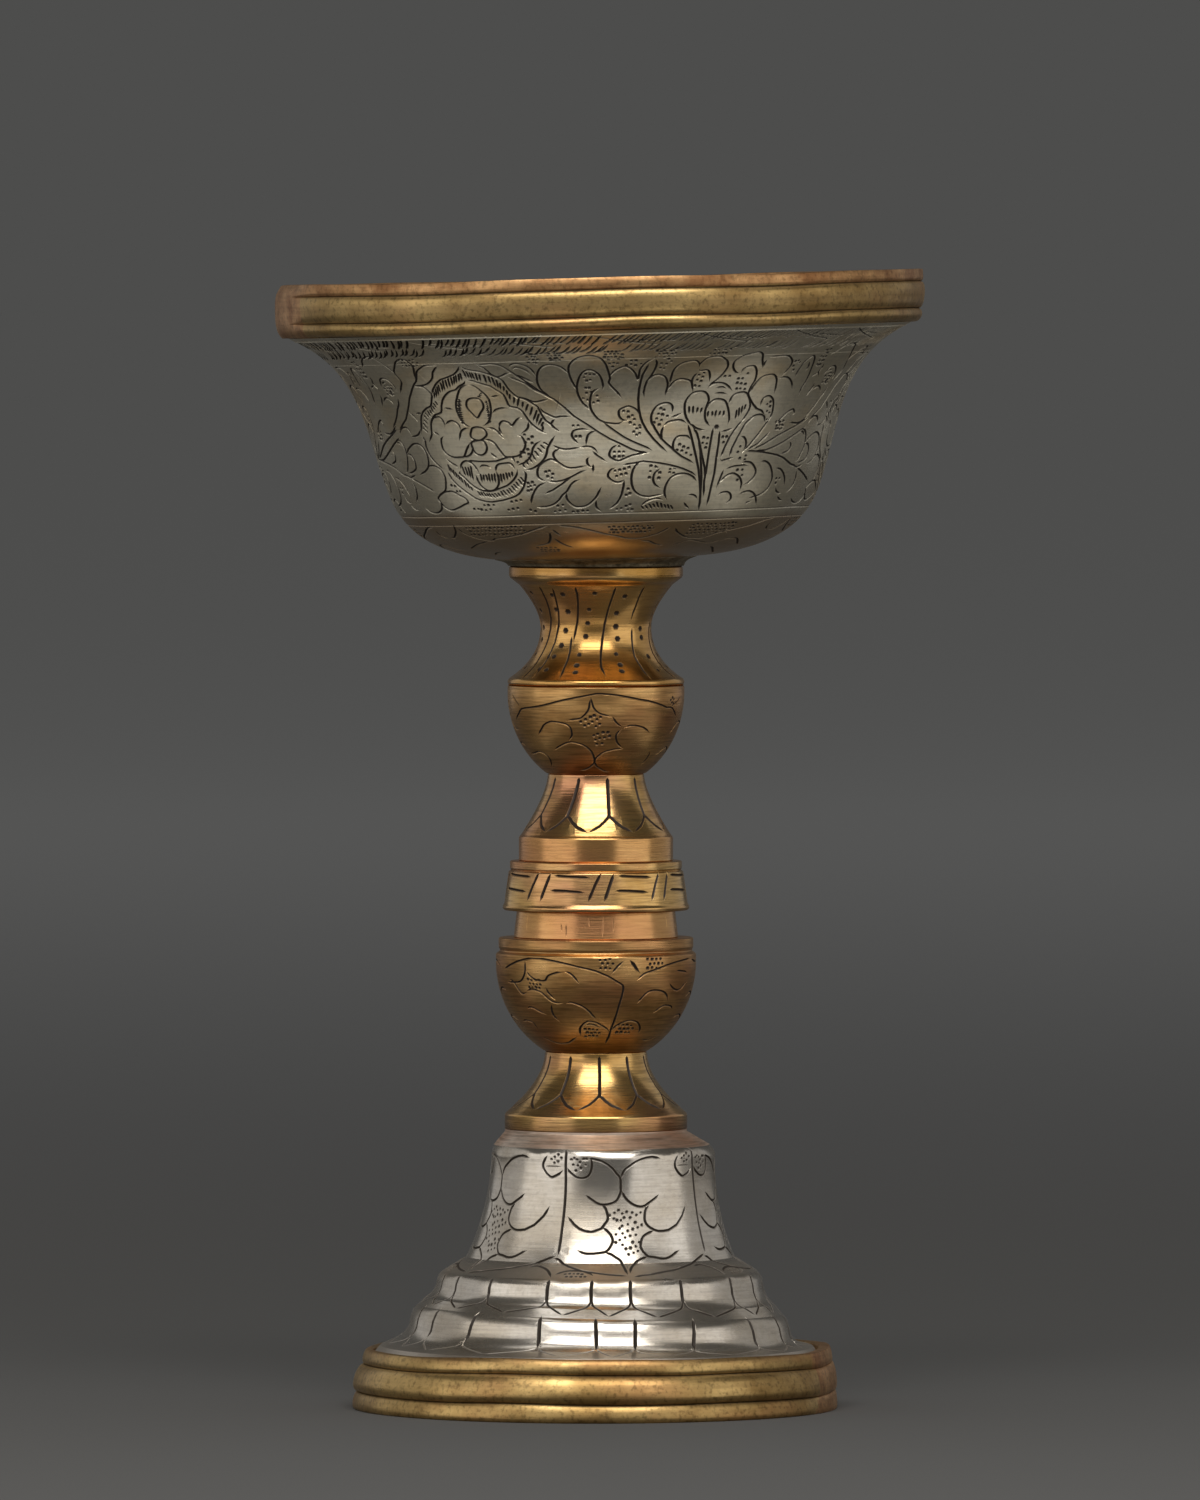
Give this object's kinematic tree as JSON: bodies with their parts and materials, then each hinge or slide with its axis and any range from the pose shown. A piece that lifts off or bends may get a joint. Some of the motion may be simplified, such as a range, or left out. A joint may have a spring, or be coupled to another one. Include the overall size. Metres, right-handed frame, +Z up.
{
  "type": "offering bowl",
  "caption": "Stemmed offering bowl: a chased white-metal bowl with a brass rim moulding on a turned brass stem and a silvered bell base; holds water, grain, butter or a wick.",
  "frame": {"origin": "middle of the foot ring's underside, on the surface that the bowl stands on", "axes": "+Z up the stem, -Y towards the picture's viewer, +X to the viewer's right, which is the side where the leaning bowl stands higher"},
  "size_m": [0.0806, 0.0806, 0.1411],
  "materials": {
    "moulding_brass": "worn satin, tarnished in the grooves",
    "stem_brass": "chased, golden to copper-brown, dark in the lines",
    "white_metal": "chased, darkened grey, polished on the crests",
    "silvering": "polished, worn to brass in spots, tarnished in the hollows",
    "solder": "dark, matt",
    "rod_steel": "dull"
  },
  "bodies": {
    "root": {"bowl_shell": "white_metal", "rim_moulding": "moulding_brass", "bowl_boss": "stem_brass", "bowl_saddle": "solder", "upper_spool": "stem_brass", "upper_knop": "stem_brass", "upper_flare": "stem_brass", "waist_band": "stem_brass", "lower_drum": "stem_brass", "lower_knop": "stem_brass", "lower_flare": "stem_brass", "base_bell": "silvering", "foot_moulding": "moulding_brass", "tie_rod": "rod_steel", "rod_washer": "stem_brass", "rod_nut": "rod_steel"}
  },
  "joints": []
}
